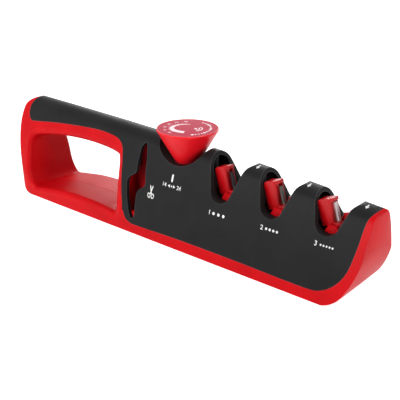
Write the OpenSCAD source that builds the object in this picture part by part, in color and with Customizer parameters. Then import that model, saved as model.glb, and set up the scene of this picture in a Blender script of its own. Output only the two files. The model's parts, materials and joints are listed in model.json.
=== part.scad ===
// Hand-held knife and scissor sharpener: loop handle, three knife slots whose crossing arms
// change their angle together when the dial knob turns. Millimetres, +X towards the nose.

/* [Body] */
// Overall length of the body
body_l = 260; // [240:1:280]
// Overall width of the body
body_w = 41.4; // [40:0.2:46]
// Height of the crest line at mid length
crest_h = 58.85; // [57:0.05:62]
// Height of the crest at the handle end
body_h = 62.79; // [61:0.01:66]
// Radius of the gentle bow of the crest line
crest_bow_r = 4300; // [4000:50:5000]
// Height of the arched section above its widest level
arch_h = 62; // [60:0.5:66]
// Radius of the crest of the arched section
crown_r = 10; // [9:0.5:12]
// Wall of the black cover
cover_wall = 2.2; // [1.8:0.1:2.6]
// Wall of the red frame
frame_wall = 2.4; // [2:0.1:3]
// Clearance between pieces that seat in each other
seat_gap = 0.12; // [0.08:0.01:0.16]
// Clearance round a turning pin or shaft
run_gap = 0.06; // [0.04:0.01:0.08]
// Side clearance between a moving piece and its neighbour
side_gap = 0.3; // [0.3:0.05:0.4]

/* [Ends of the body] */
// Corner radius of the nose, seen from above
nose_corner_r = 9; // [7:0.5:12]
// Radius of the soft crown of the nose
nose_crown_r = 75; // [60:1:100]
// Radius of the top edge of the nose
nose_top_r = 3.5; // [2:0.5:5]
// Radius under the nose
nose_foot_r = 16; // [12:0.5:18]
// Radius of the belly of the nose
nose_belly_r = 54; // [50:1:60]
// Height of the belly of the nose
nose_belly_z = 38; // [34:1:42]
// Where the foot starts to rise to the nose, as a share of the length ahead of the middle
nose_foot_share = 0.823; // [0.81:0.001:0.84]
// Corner radius of the handle end, seen from above
tail_corner_r = 11; // [9:0.5:14]
// Radius under the handle end
tail_foot_r = 15; // [12:0.5:18]
// Radius over the handle end
tail_top_r = 6.3; // [4:0.1:8]

/* [Knife slots] */
// Number of knife stages
stages = 3; // [1:1:3]
// Place of the first stage along the body
stage_x = 43.5; // [42:0.5:45]
// Distance between stages
stage_pitch = 32.4; // [32:0.1:33]
// Distance from the last stage to the nose end
nose_run = 21.7; // [20:0.1:24]
// Height of the bottom of a knife slot
slot_z = 34; // [33:0.5:35]
// Radius of the bottom of a knife slot
slot_r = 6.6; // [6:0.1:7]
// Lean of the walls of a knife slot, in degrees
slot_lean = 17.5; // [15:0.5:18]
// Radius of the soft shoulder on the handle side of each hump
shoulder_r = 4; // [2:0.5:5]

/* [Angle knob] */
// Place of the knob axis along the body
knob_x = 7.5; // [6:0.5:9]
// Radius of the knob at its top
knob_r = 17.6; // [16:0.1:17.8]
// Height of the top of the knob
knob_top = 66; // [65:0.5:68]
// Radius of the knob where it meets the spindle
knob_foot_r = 3.6; // [3.6:0.1:4.5]
// Height of the rim of the knob
rim_h = 1.4; // [1:0.1:2]
// Length of the shank of the knob screw
knob_screw_l = 10.6; // [9:0.1:12]
// Depth of the seat of the dial disc
dial_recess = 0.9; // [0.6:0.1:1.2]
// Radius of the valley under the knob
valley_r = 18.2; // [18:0.1:19]
// Height of the floor of the valley
valley_z = 46.7; // [46:0.1:48]
// Radius of the spindle
spindle_r = 3; // [2.6:0.1:3.2]
// Wall of the spindle bush
bush_wall = 2; // [1.6:0.1:2.4]
// Throw of the two eccentric cams
cam_throw = 1.25; // [1:0.05:1.4]
// Radius of the two eccentric cams
cam_r = 5; // [4.8:0.1:5.2]
// Thickness of each cam
cam_t = 3; // [2.6:0.1:3]
// Radius of the click wheel on the spindle
wheel_r = 6; // [5.6:0.1:6.4]
// Knob turn from one click to the next, in degrees
click_step = 10; // [5:5:20]
// Thickness of the leaf of the click spring
leaf_t = 0.6; // [0.4:0.1:0.8]

/* [Sharpening arms] */
// Lean of the arms at rest, half of the blade angle, in degrees
arm_lean = 19; // [16:1:22]
// Height of the pivot pins
pivot_z = 35; // [34.5:0.5:36]
// Radius of the pivot pins
pivot_r = 1.5; // [1.2:0.1:1.8]
// Reach of an arm above its pivot
arm_reach = 15; // [14:0.5:15.5]
// Depth of an arm from the middle of the body to its outer face
arm_d = 6.25; // [6:0.25:6.5]
// Width of the padded block of an arm, left of its bar
arm_left = 6.5; // [6:0.1:7]
// Round of the corners of an arm
arm_corner = 1.6; // [1:0.1:2]
// Height of the lip over the end of a bar
lip_h = 1.7; // [1.4:0.1:2]
// Radius of the hub of an arm
hub_r = 3.6; // [3.2:0.1:3.8]
// Drop of the drive pin below the pivot
drive_drop = 11; // [10.5:0.5:12]
// Radius of the drive pins
drive_r = 1.2; // [1:0.1:1.4]
// Width of an abrasive bar along the body
bar_w = 2.8; // [2.4:0.1:3]
// Depth of an abrasive bar across the body
bar_d = 2.2; // [1.8:0.1:2.4]
// Thickness of the cheeks of a stand
stand_t = 1.6; // [1.4:0.1:1.8]
// Thickness of the sliders
slider_t = 2; // [1.6:0.1:2.2]
// Half height of the long bar of a slider
slider_half_h = 4; // [3.6:0.1:4.2]

/* [Scissor slot] */
// Radius of the ceramic rods
rod_r = 1.5; // [1.2:0.1:1.6]
// Gap for the scissor blade
blade_gap = 3; // [2.6:0.1:3.4]
// Length of the holder along the body
holder_l = 15.2; // [14:0.2:16]
// Width of the holder across the body
holder_w = 14; // [13:0.2:14.4]

/* [Base] */
// How far the foot pads stand out below the body
foot_proud = 0.5; // [0.3:0.1:0.8]
// Depth of the seats of the foot pads in the body
foot_seat = 0.5; // [0.4:0.1:0.8]
// Radius of a foot pad
foot_r = 6; // [5:0.5:6]
// Thickness of the base cover
base_t = 2; // [1.8:0.1:2.4]
// Thickness of the deck that carries the mechanism
deck_t = 2.5; // [2.2:0.1:2.8]
// Shank radius of the screws
screw_r = 1.4; // [1.2:0.1:1.5]
// Head radius of the screws
screw_head_r = 2.8; // [2.4:0.1:3]
// Radius of the screw columns of the cover
column_r = 3; // [2.8:0.1:3.2]
// How far the columns stand back from the middle between two stages
column_shift = 0.9; // [0.6:0.1:1.2]

/* [Hidden] */
$fn = 64;

// Colours as moulded
red = "#d81e27";
dark_red = "#8c0d14";
black = "#26262a";
steel = "#b8bcc2";
pale = "#c9c9c4";

// Overrun of every cut past the face that it opens
over = body_w / 10;
half_w = body_w / 2;
base_z = foot_proud;
pad_top = foot_proud + foot_seat;
base_top = pad_top + base_t;
deck_z = base_top + deck_t;

// The arched section: two long side arcs that run into the crown, a touch tighter than tangent
// so that they cross it in a clean edge
cross_share = 0.999;
tangent_r = (pow(half_w, 2) + pow(arch_h - crown_r, 2) - pow(crown_r, 2)) / (2 * (half_w - crown_r));
side_r = tangent_r * cross_share;
crown_z = arch_h - crown_r;
tangent_z = crown_z * tangent_r / (tangent_r - crown_r);

// The head has room for three stages, which set where the nose ends; the handle takes the rest
stage_room = 3;
function stage_at(i) = stage_x + i * stage_pitch;
nose_l = stage_at(stage_room - 1) + nose_run;
tail_l = body_l - nose_l;

// The crest is an arc of a large circle through its heights at the handle end and at the middle
crest_rise = body_h - crest_h;
crest_chord = sqrt(pow(tail_l, 2) + pow(crest_rise, 2));
crest_tilt = atan2(crest_rise, tail_l) + asin(crest_chord / (2 * crest_bow_r));
bow_x = -crest_bow_r * sin(crest_tilt);
bow_z = crest_h - crest_bow_r * cos(crest_tilt);

function crest_at(x) = bow_z + sqrt(pow(crest_bow_r, 2) - pow(x - bow_x, 2));

// Outlines seen from the side: places as shares of the head's unit length either way from the
// middle, past the bay as shares of the handle, and heights as shares of the crest at the handle end
head_unit = 2 * nose_l;
bay_share = -0.108;
tail_share = -0.5;
bay_x = bay_share * head_unit;
function along(share) = share > bay_share ? share * head_unit :
    bay_x - (tail_l + bay_x) * (share - bay_share) / (tail_share - bay_share);
loop_shares = [
    [-0.455, 0.397], [-0.452, 0.215], [-0.433, 0.099], [-0.392, 0.114], [-0.326, 0.153],
    [-0.250, 0.167], [-0.180, 0.159], [-0.135, 0.140], [-0.128, 0.183], [-0.128, 0.350],
    [-0.130, 0.541], [-0.134, 0.668], [-0.145, 0.722], [-0.200, 0.752], [-0.269, 0.757],
    [-0.341, 0.738], [-0.414, 0.693], [-0.443, 0.655], [-0.455, 0.582]
];
cover_shares = [
    [0.495, 0.808], [0.487, 0.755], [0.484, 0.658], [0.481, 0.526], [0.471, 0.339],
    [0.451, 0.207], [0.422, 0.121], [0.382, 0.097], [0.237, 0.107], [0.074, 0.108],
    [-0.054, 0.095], [-0.083, 0.102], [-0.101, 0.162], [-0.112, 0.350], [-0.120, 0.574],
    [-0.128, 0.747], [-0.141, 0.817], [-0.165, 0.852], [-0.230, 0.865], [-0.351, 0.831],
    [-0.438, 0.789], [-0.460, 0.787], [-0.474, 0.846], [-0.478, 0.927]
];
scissor_shares = [
    [-0.063, 0.868], [-0.072, 0.835], [-0.075, 0.763], [-0.075, 0.636], [-0.076, 0.585],
    [-0.090, 0.547], [-0.098, 0.502], [-0.097, 0.429], [-0.091, 0.286], [-0.084, 0.186],
    [-0.077, 0.149], [-0.069, 0.178], [-0.067, 0.254], [-0.066, 0.391], [-0.060, 0.445],
    [-0.047, 0.480], [-0.043, 0.525], [-0.047, 0.604], [-0.050, 0.700], [-0.055, 0.803]
];
// Nose end of the window behind the cover, and of the tub under it
window_shares = [[0.436, 0.200], [0.455, 0.340], [0.467, 0.526], [0.470, 0.660], [0.472, 1.100]];
tub_shares = [[0.450, 0.160], [0.460, 0.260], [0.468, 0.400], [0.472, 0.550], [0.475, 1.100]];
// Outline of a cheek of a stand, as shares of the pivot height either way from the pivot's foot
cheek_shares = [
    [0.120, 0.157], [0.150, 0.300], [0.230, 0.560], [0.190, 0.880], [0.060, 1.080],
    [-0.060, 1.080], [-0.190, 0.880], [-0.230, 0.560], [-0.230, 0.157]
];

// A smooth curve through points, with a few steps between each pair
curve_steps = 3;
function place(shares) = [for (s = shares) [along(s[0]), s[1] * body_h]];
function blend(a, b, c, d, t) =
    (2 * b + (c - a) * t + (2 * a - 5 * b + 4 * c - d) * t * t + (3 * b - a - 3 * c + d) * t * t * t) / 2;
function closed_curve(p) = let (n = len(p))
    [for (i = [0:n - 1], k = [0:curve_steps - 1])
        blend(p[(i + n - 1) % n], p[i], p[(i + 1) % n], p[(i + 2) % n], k / curve_steps)];
function open_curve(p) = let (n = len(p))
    concat([for (i = [0:n - 2], k = [0:curve_steps - 1])
        blend(p[max(i - 1, 0)], p[i], p[i + 1], p[min(i + 2, n - 1)], k / curve_steps)], [p[n - 1]]);
function arc(cx, cz, r, from, to, n) = [for (i = [0:n])
    let (a = from + (to - from) * i / n) [cx + r * cos(a), cz + r * sin(a)]];

// A side outline pushed through the body across its width
module across(w = body_w + 2 * over, y = 0) {
    translate([0, y + w / 2, 0])
        rotate([90, 0, 0])
            linear_extrude(w)
                children();
}

// The arched section, inset by t
module section(t) {
    intersection() {
        translate([0, half_w - side_r])
            circle(r = side_r - t, $fn = 200);
        translate([0, side_r - half_w])
            circle(r = side_r - t, $fn = 200);
        union() {
            translate([-arch_h / 2, -half_w])
                square([arch_h / 2 + tangent_z, body_w]);
            translate([crown_z, 0])
                circle(r = crown_r - t, $fn = 96);
        }
    }
}

// The section swept along the bowed crest, inset by t
module swept(t) {
    a_from = acos((nose_l + over - bow_x) / crest_bow_r);
    a_to = acos((-tail_l - over - bow_x) / crest_bow_r);
    translate([bow_x, 0, bow_z])
        rotate([90, 0, 0])
            rotate([0, 0, a_from])
                rotate_extrude(angle = a_to - a_from, $fn = 2400)
                    translate([crest_bow_r - arch_h, 0])
                        section(t);
}

// Plan of the body: rounded tail, softly crowned nose
module plan() {
    tail_x = -tail_l + tail_corner_r;
    nose_x = nose_l - nose_corner_r;
    intersection() {
        union() {
            translate([tail_x, -half_w])
                square([nose_x - tail_x, body_w]);
            translate([-tail_l, tail_corner_r - half_w])
                square([tail_l, body_w - 2 * tail_corner_r]);
            translate([0, nose_corner_r - half_w])
                square([nose_l, body_w - 2 * nose_corner_r]);
            for (s = [-1, 1]) {
                translate([tail_x, s * (half_w - tail_corner_r)])
                    circle(r = tail_corner_r);
                translate([nose_x, s * (half_w - nose_corner_r)])
                    circle(r = nose_corner_r);
            }
        }
        union() {
            translate([nose_l - nose_crown_r, 0])
                circle(r = nose_crown_r, $fn = 160);
            translate([-tail_l - over, -half_w - over])
                square([tail_l + over, body_w + 2 * over]);
        }
    }
}

// Side profile of the body between its foot and above its crest
nose_foot_x = nose_l * nose_foot_share;
module profile() {
    c1 = [nose_foot_x, base_z + nose_foot_r];
    c2 = [nose_l - nose_belly_r, nose_belly_z];
    bend = atan2(c1[1] - c2[1], c1[0] - c2[0]);
    top_z = crest_at(nose_l) - nose_top_r;
    tail_z = body_h - tail_top_r;
    polygon(concat(
        arc(-tail_l + tail_foot_r, base_z + tail_foot_r, tail_foot_r, 180, 270, 12),
        arc(c1[0], c1[1], nose_foot_r, 270, 360 + bend, 8),
        arc(c2[0], c2[1], nose_belly_r, bend, 0, 10),
        arc(nose_l - nose_top_r, top_z, nose_top_r, 0, 90, 7),
        [[nose_l - nose_top_r, body_h + over], [-tail_l + tail_top_r, body_h + over]],
        arc(-tail_l + tail_top_r, tail_z, tail_top_r, 90, 180, 8)
    ));
}

// The whole outer form
module form() {
    intersection() {
        swept(0);
        across()
            profile();
        translate([0, 0, -over])
            linear_extrude(body_h + 2 * over)
                plan();
    }
}

// Region of the side view that the black cover takes
module cover_zone() {
    p = open_curve(place(cover_shares));
    top = body_h + over;
    last = p[len(p) - 1];
    polygon(concat([[p[0][0], top]], p, [[last[0], top]]));
}

// Outline of a knife slot, from its round bottom up past the crest
module slot_outline(i) {
    cz = slot_z + slot_r;
    cx = -slot_r / 5;
    top = body_h + over;
    run = tan(slot_lean);
    half_turn = 180;
    edge_x = cx + slot_r * cos(slot_lean);
    edge_z = cz - slot_r * sin(slot_lean);
    round_z = crest_at(stage_at(i) + 2 * slot_r) - shoulder_r;
    round_x = edge_x + (round_z - edge_z) * run + shoulder_r / cos(slot_lean);
    translate([stage_at(i), 0])
        polygon(concat(
            [[cx - slot_r * cos(slot_lean) - (top - edge_z) * run, top]],
            arc(cx, cz, slot_r, half_turn + slot_lean, 2 * half_turn - slot_lean, 14),
            arc(round_x, round_z, shoulder_r, half_turn - slot_lean, half_turn / 2, 6),
            [[round_x + shoulder_r, round_z + shoulder_r], [round_x + shoulder_r, top]]
        ));
}

valley_x = knob_x + valley_r / 22;
module valley(extra = 0) {
    translate([valley_x, valley_z + valley_r])
        circle(r = valley_r + extra, $fn = 96);
}

module scissor_outline() {
    polygon(closed_curve(place(scissor_shares)));
}

// The mechanism bay: a window across the body behind the cover, and a tub inside the rim
tub_end_share = 0.435;
tub_end_x = along(tub_end_share);
base_end_x = nose_foot_x - over;
base_w = body_w - 4 * frame_wall;
columns_x = [for (i = [0:stages - 1]) stage_at(i) - stage_pitch / 2 - column_shift];
base_screws_x = [bay_x + frame_wall + screw_head_r, base_end_x - frame_wall - screw_head_r];

module window() {
    p = place(window_shares);
    polygon(concat([[bay_x, p[0][1]]], p, [[bay_x, body_h * 1.1]]));
}

module tub() {
    polygon(concat([[bay_x, deck_z], [tub_end_x, deck_z]], place(tub_shares), [[bay_x, body_h * 1.1]]));
}

module handle_frame() {
    color(red)
    difference() {
        form();
        // the cover takes a skin off the upper body
        difference() {
            across()
                cover_zone();
            swept(cover_wall + seat_gap);
        }
        across()
            window();
        intersection() {
            swept(cover_wall + seat_gap + frame_wall);
            across()
                tub();
        }
        // finger loop
        across()
            polygon(closed_curve(place(loop_shares)));
        // recess of the base cover
        translate([bay_x, -base_w / 2, -over])
            cube([base_end_x - bay_x, base_w, base_top + over]);
        // holes for the spindle bush, the cover screws and the base screws
        translate([knob_x, 0, 0])
            cylinder(r = bush_r + seat_gap / 2, h = 2 * deck_z);
        for (x = columns_x)
            translate([x, 0, 0])
                cylinder(r = screw_r + seat_gap, h = 2 * deck_z);
        for (x = base_screws_x)
            translate([x, 0, 0])
                cylinder(r = screw_r + seat_gap / 2, h = 2 * deck_z);
    }
}

module top_cover() {
    color(black)
    difference() {
        union() {
            difference() {
                intersection() {
                    form();
                    across()
                        cover_zone();
                }
                swept(cover_wall);
            }
            // floor of the knob valley
            intersection() {
                swept(cover_wall / 2);
                across()
                    difference() {
                        valley(cover_wall);
                        translate([valley_x - 2 * valley_r, crest_at(valley_x)])
                            square([4 * valley_r, body_h]);
                    }
            }
            // screw columns that hang from the crest
            for (x = columns_x)
                intersection() {
                    translate([x, 0, deck_z])
                        cylinder(r = column_r, h = body_h);
                    swept(cover_wall / 2);
                }
            // boss that guides the spindle under the valley
            translate([knob_x, 0, valley_z - 2 * cover_wall])
                cylinder(r = spindle_r + cover_wall, h = cover_wall * 3 / 2);
        }
        for (i = [0:stages - 1])
            across()
                slot_outline(i);
        across()
            valley();
        // room for the cone of the knob, which reaches past the valley where the knob is low
        translate([knob_x, 0, 0])
            rotate_extrude($fn = 96)
                polygon([
                    [0, knob_foot_z + cover_wall / 2], [knob_foot_r + side_gap, knob_foot_z + cover_wall / 2],
                    [knob_r + side_gap, knob_top - rim_h - side_gap], [knob_r + side_gap, knob_top + over],
                    [0, knob_top + over]
                ]);
        across()
            scissor_outline();
        translate([knob_x, 0, 0])
            cylinder(r = spindle_r + run_gap, h = body_h + over);
        for (x = columns_x)
            translate([x, 0, 0])
                cylinder(r = screw_r + seat_gap / 2, h = valley_z - 2 * cover_wall);
    }
}

module base_cover() {
    color(black)
    difference() {
        translate([bay_x + seat_gap, -base_w / 2 + seat_gap, pad_top])
            cube([base_end_x - bay_x - 2 * seat_gap, base_w - 2 * seat_gap, base_t]);
        for (x = concat(columns_x, base_screws_x))
            translate([x, 0, 0]) {
                cylinder(r = screw_r + seat_gap, h = body_h);
                cylinder(r = screw_head_r + seat_gap, h = base_top - base_t / 2);
            }
    }
}

module foot_pads() {
    feet_x = [bay_x + 2 * foot_r, base_end_x - 2 * foot_r];
    color("#1c1c1e")
    for (x = feet_x, s = [-1, 1])
        translate([x, s * (base_w / 2 - foot_r - frame_wall / 2), 0])
            cylinder(r = foot_r, h = pad_top);
}

// A screw from its head in the base cover up to a height
module screw(top) {
    head_z = base_top - base_t / 2;
    head_h = screw_head_r / 4;
    translate([0, 0, head_z - head_h]) {
        cylinder(r = screw_head_r, h = head_h);
        cylinder(r = screw_r, h = top - head_z + head_h);
    }
}

module cover_screws() {
    color(steel)
    for (x = columns_x)
        translate([x, 0, 0])
            screw(valley_z / 2);
}

module base_screws() {
    color(steel)
    for (x = base_screws_x)
        translate([x, 0, 0])
            screw(deck_z);
}

// Scissor holder behind the slot: a stepped block with a blade gap and two rods beside it
holder_end_share = -0.042;
holder_x = along(holder_end_share) - holder_l;
holder_top = crest_h - 3 * cover_wall;
holder_step_z = pivot_z + slot_r / 2;
rods_x = holder_x + holder_l * 0.58;
module scissor_holder() {
    color(dark_red)
    difference() {
        union() {
            translate([holder_x, -holder_w / 2, deck_z])
                cube([holder_l, holder_w, holder_step_z - deck_z]);
            translate([holder_x + holder_l / 4, -holder_w / 2, deck_z])
                cube([holder_l * 3 / 4, holder_w, holder_top - deck_z]);
        }
        translate([rods_x - blade_gap / 2, -holder_w, 4 * deck_z])
            cube([blade_gap, 2 * holder_w, body_h]);
        for (s = [-1, 1])
            translate([rods_x + s * (blade_gap / 2 + rod_r), 0, 2 * deck_z])
                cylinder(r = rod_r + seat_gap / 2, h = body_h);
    }
}

module scissor_rods() {
    color("#e9e6de")
    for (s = [-1, 1])
        translate([rods_x + s * (blade_gap / 2 + rod_r), 0, 2 * deck_z])
            cylinder(r = rod_r, h = holder_top - 2 * deck_z);
}

// Spindle, its cams and its bearing
bush_r = spindle_r + bush_wall;
bush_top = deck_z + 2 * spindle_r;
front_cam_z = pivot_z - 2 * cam_t;
back_cam_z = front_cam_z - cam_t * 3 / 2;
knob_foot_z = valley_z + cover_wall / 3;
knob_rise = knob_top - knob_foot_z;
spindle_share = 0.526;
spindle_top = knob_foot_z + knob_rise * spindle_share;
press_gap = run_gap / 3;

module spindle_bush() {
    color("#d9d2b0")
    difference() {
        translate([knob_x, 0, 0]) {
            translate([0, 0, base_top])
                cylinder(r = bush_r, h = bush_top - base_top);
            translate([0, 0, deck_z])
                cylinder(r = bush_r + bush_wall, h = deck_t / 2);
        }
        translate([knob_x, 0, 0])
            cylinder(r = spindle_r + run_gap, h = body_h);
    }
}

module knob_spindle() {
    color(steel)
    translate([knob_x, 0, 0])
        difference() {
            union() {
                translate([0, 0, base_top + run_gap])
                    cylinder(r = spindle_r, h = spindle_top - base_top);
                translate([0, -cam_throw, front_cam_z])
                    cylinder(r = cam_r, h = cam_t);
                translate([0, cam_throw, back_cam_z])
                    cylinder(r = cam_r, h = cam_t);
            }
            translate([0, 0, screw_tip_z - knob_r / 5])
                cylinder(r = screw_r, h = body_h);
        }
}

// Click wheel with a notch for each step of the dial
wheel_z = bush_top + 2 * run_gap;
notch_r = leaf_t;
module click_wheel() {
    color(steel)
    translate([knob_x, 0, wheel_z])
        difference() {
            cylinder(r = wheel_r, h = bush_wall);
            translate([0, 0, -over])
                cylinder(r = spindle_r + press_gap, h = 3 * over);
            for (a = [0:click_step:360 - click_step])
                rotate([0, 0, a])
                    translate([wheel_r, 0, -over])
                        cylinder(r = wheel_r * sin(click_step / 3), h = 3 * over, $fn = 24);
        }
}

// Leaf spring beside the click wheel: two feet on the deck, a leaf and a round nose
module click_spring() {
    leaf_x = knob_x - wheel_r - side_gap - notch_r - leaf_t;
    leaf_l = 2 * bush_r;
    color(steel) {
        translate([leaf_x, -leaf_l / 2, wheel_z])
            cube([leaf_t, leaf_l, bush_wall]);
        translate([leaf_x + leaf_t, 0, wheel_z])
            cylinder(r = notch_r, h = bush_wall, $fn = 32);
        for (s = [-1, 1])
            translate([leaf_x, s * (leaf_l / 2 - leaf_t) - leaf_t, deck_z]) {
                cube([leaf_t, 2 * leaf_t, wheel_z + bush_wall - deck_z]);
                translate([-bush_wall, 0, 0])
                    cube([bush_wall, 2 * leaf_t, leaf_t]);
            }
    }
}

// Knob: a cone that opens to a thin rim round the dial
dial_r = knob_r - rim_h;
head_h = screw_head_r / 2;
head_rest_share = 0.114;
head_seat_z = knob_top - dial_recess - head_h - knob_rise * head_rest_share;
screw_tip_z = head_seat_z - knob_screw_l;
module angle_knob() {
    color(red)
    translate([knob_x, 0, 0])
        difference() {
            rotate_extrude($fn = 96)
                polygon([
                    [0, knob_foot_z], [knob_foot_r, knob_foot_z], [knob_foot_r, knob_foot_z + cover_wall / 2],
                    [knob_r - rim_h / 2, knob_top - rim_h], [knob_r, knob_top - rim_h / 2],
                    [knob_r - rim_h / 5, knob_top], [0, knob_top]
                ]);
            translate([0, 0, knob_top - dial_recess])
                cylinder(r = dial_r, h = over, $fn = 96);
            cylinder(r = spindle_r + press_gap, h = spindle_top + base_top);
            cylinder(r = screw_r + seat_gap, h = knob_top + over);
            translate([0, 0, head_seat_z])
                cylinder(r = screw_head_r + seat_gap, h = knob_r);
        }
}

module dial_disc() {
    color("#de5560")
    translate([knob_x, 0, knob_top - dial_recess])
        cylinder(r = dial_r - seat_gap, h = dial_recess - seat_gap, $fn = 96);
}

module knob_screw() {
    color(steel)
    translate([knob_x, 0, 0]) {
        translate([0, 0, head_seat_z])
            cylinder(r = screw_head_r, h = head_h);
        translate([0, 0, screw_tip_z])
            cylinder(r = screw_r - press_gap, h = knob_screw_l + head_h / 2);
    }
}

// Sliders: a yoke round one cam, and a long bar with a slot for each drive pin
stand_y = arm_d + 2 * side_gap;
bar_y = stand_y + stand_t + side_gap;
drive_z = pivot_z - drive_drop;
slider_x0 = knob_x - cam_r - 3 * cam_throw;
slider_x1 = stage_at(stages - 1) + slider_half_h;
yoke_t = cam_t - seat_gap * 3;
yoke_gap = cam_r + seat_gap;
yoke_w = 2 * (knob_x - slider_x0);

module slider(cam_z, s) {
    y0 = s > 0 ? bar_y : -bar_y - slider_t;
    yoke_z = cam_z + (cam_t - yoke_t) / 2;
    reach = cam_r + 2 * cam_throw;
    difference() {
        union() {
            translate([slider_x0, y0, drive_z - slider_half_h])
                cube([slider_x1 - slider_x0, slider_t, 2 * slider_half_h]);
            translate([slider_x0, y0, drive_z - slider_half_h])
                cube([yoke_w, slider_t, yoke_z + yoke_t - drive_z + slider_half_h]);
            translate([slider_x0, s > 0 ? -reach : -bar_y, yoke_z])
                cube([yoke_w, bar_y + reach, yoke_t]);
        }
        translate([knob_x - yoke_gap, s * cam_throw - cam_r - cam_throw / 2, yoke_z - over])
            cube([2 * yoke_gap, 2 * cam_r + cam_throw, yoke_t + 2 * over]);
        for (i = [0:stages - 1])
            translate([stage_at(i) - drive_r - seat_gap, y0 - over, drive_z - 2 * drive_r])
                cube([2 * (drive_r + seat_gap), slider_t + 2 * over, 4 * drive_r]);
    }
}

module front_slider() {
    color(pale)
        slider(front_cam_z, -1);
}

module back_slider() {
    color(pale)
        slider(back_cam_z, 1);
}

// Stand of a stage: two cheeks that hold the pivot pin, on a foot with ledges for the sliders
stand_w = 2 * (stand_y + stand_t);
module stand(i) {
    foot_x0 = cheek_shares[len(cheek_shares) - 1][0] * pivot_z;
    foot_l = cheek_shares[0][0] * pivot_z - foot_x0;
    ledge_top = drive_z - slider_half_h - side_gap;
    color(red)
    translate([stage_at(i), 0, 0])
        difference() {
            union() {
                for (s = [-1, 1]) {
                    across(stand_t, s * (stand_y + stand_t / 2))
                        polygon([for (c = cheek_shares) c * pivot_z]);
                    translate([foot_x0, s * (bar_y + slider_t / 2) - slider_t, deck_z])
                        cube([foot_l, 2 * slider_t, ledge_top - deck_z]);
                }
                translate([foot_x0, -stand_w / 2, deck_z])
                    cube([foot_l, stand_w, stand_t]);
            }
            translate([0, stand_w, pivot_z])
                rotate([90, 0, 0])
                    cylinder(r = pivot_r + press_gap, h = 2 * stand_w);
            // room for the drive pins and the sliders
            across()
                translate([-3 * drive_r, ledge_top + side_gap])
                    square([6 * drive_r, 2 * slider_half_h]);
        }
}

module pivot_pin(i) {
    color(steel)
    translate([stage_at(i), stand_w / 2, pivot_z])
        rotate([90, 0, 0])
            cylinder(r = pivot_r, h = stand_w);
}

// An arm leans about its pivot: a padded block, a lip over the bar, a back wall, a hub and a tail.
// Drawn for the front arm with the pivot at the origin and y from the middle of the body outwards.
arm_y = side_gap * 5 / 6;
bar_x = -bar_w / 3;
bar_y0 = bar_w / 3;
bar_top = arm_reach - lip_h;
lip_x = bar_x + bar_w + arm_corner * 2 / 3;
arm_base = hub_r * 2 / 3;
bar_seat = seat_gap / 3;
neck_w = hub_r / 2;

module arm_body() {
    difference() {
        union() {
            rotate([0, -arm_lean, 0]) {
                // block behind the bar, with a round top corner
                difference() {
                    across(arm_d - arm_y, -(arm_d + arm_y) / 2) {
                        translate([-arm_left, arm_base])
                            square([arm_left + lip_x - arm_corner, arm_reach - arm_base - arm_corner]);
                        translate([-arm_left + arm_corner, arm_base])
                            square([arm_left + lip_x - arm_corner * 3 / 2, arm_reach - arm_base]);
                        translate([-arm_left + arm_corner, arm_reach - arm_corner])
                            circle(r = arm_corner);
                    }
                    // room for the bar and the view onto its face
                    translate([bar_x - bar_seat, -bar_y0 - bar_d, -over])
                        cube([arm_left + bar_w, bar_d, bar_top + over]);
                    translate([bar_x + bar_w / 2, -arm_d - over, -over])
                        cube([arm_left + bar_w, arm_d + over - bar_y0, bar_top + over]);
                    translate([bar_x + bar_w * 6 / 7, -arm_d - over, -over])
                        cube([arm_left, arm_d + 2 * over, bar_top + over]);
                    // the lip narrows towards the front
                    translate([lip_x - arm_corner * 2, -arm_d, arm_base])
                        rotate([0, 0, 45])
                            translate([0, -arm_d, 0])
                                cube([arm_d, arm_d, arm_reach]);
                }
                // neck between the block and the hub
                translate([-neck_w - bar_w / 2, -arm_d, -hub_r / 2])
                    cube([neck_w, arm_d - arm_y, arm_base + hub_r]);
            }
            rotate([90, 0, 0])
                translate([0, 0, arm_y])
                    cylinder(r = hub_r, h = arm_d - 2 * arm_y);
            translate([-2 * drive_r, 2 * arm_y - arm_d, -drive_drop - 2 * drive_r])
                cube([4 * drive_r, arm_d / 2, drive_drop]);
        }
        rotate([90, 0, 0]) {
            translate([0, 0, -over])
                cylinder(r = pivot_r + run_gap, h = arm_d + 2 * over);
            translate([0, -drive_drop, -over])
                cylinder(r = drive_r + press_gap, h = arm_d + 2 * over);
        }
    }
}

module arm_bar() {
    rotate([0, -arm_lean, 0])
        translate([bar_x, -bar_y0 - bar_d, hub_r])
            cube([bar_w, bar_d, bar_top - hub_r - bar_seat]);
}

// The back arm is the front arm turned about the slot, with a long bevel that leads the blade in
bevel_x = hub_r / 5;
bevel_z = 2 * hub_r;
bevel_rise = 20;
module lead_in() {
    across()
        polygon([
            [-2 * arm_left, bevel_z], [bevel_x, bevel_z],
            [bevel_x + arm_reach, bevel_z + arm_reach * tan(bevel_rise)], [-2 * arm_left, 2 * arm_reach]
        ]);
}

module at_stage(i, back) {
    translate([stage_at(i), 0, pivot_z])
        rotate([0, 0, back ? 180 : 0])
            children();
}

module arm(i, back) {
    color(red)
    difference() {
        at_stage(i, back)
            arm_body();
        if (back)
            at_stage(i, false)
                lead_in();
    }
}

module bar(i, back) {
    color(["#4a4a4e", "#77756f", "#e9e2e4"][i])
    difference() {
        at_stage(i, back)
            arm_bar();
        if (back)
            at_stage(i, false)
                lead_in();
    }
}

module drive_pin(i, back) {
    color(steel)
    at_stage(i, back)
        translate([0, -arm_d / 2, -drive_drop])
            rotate([90, 0, 0])
                cylinder(r = drive_r, h = bar_y + slider_t - arm_d / 2);
}

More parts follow.
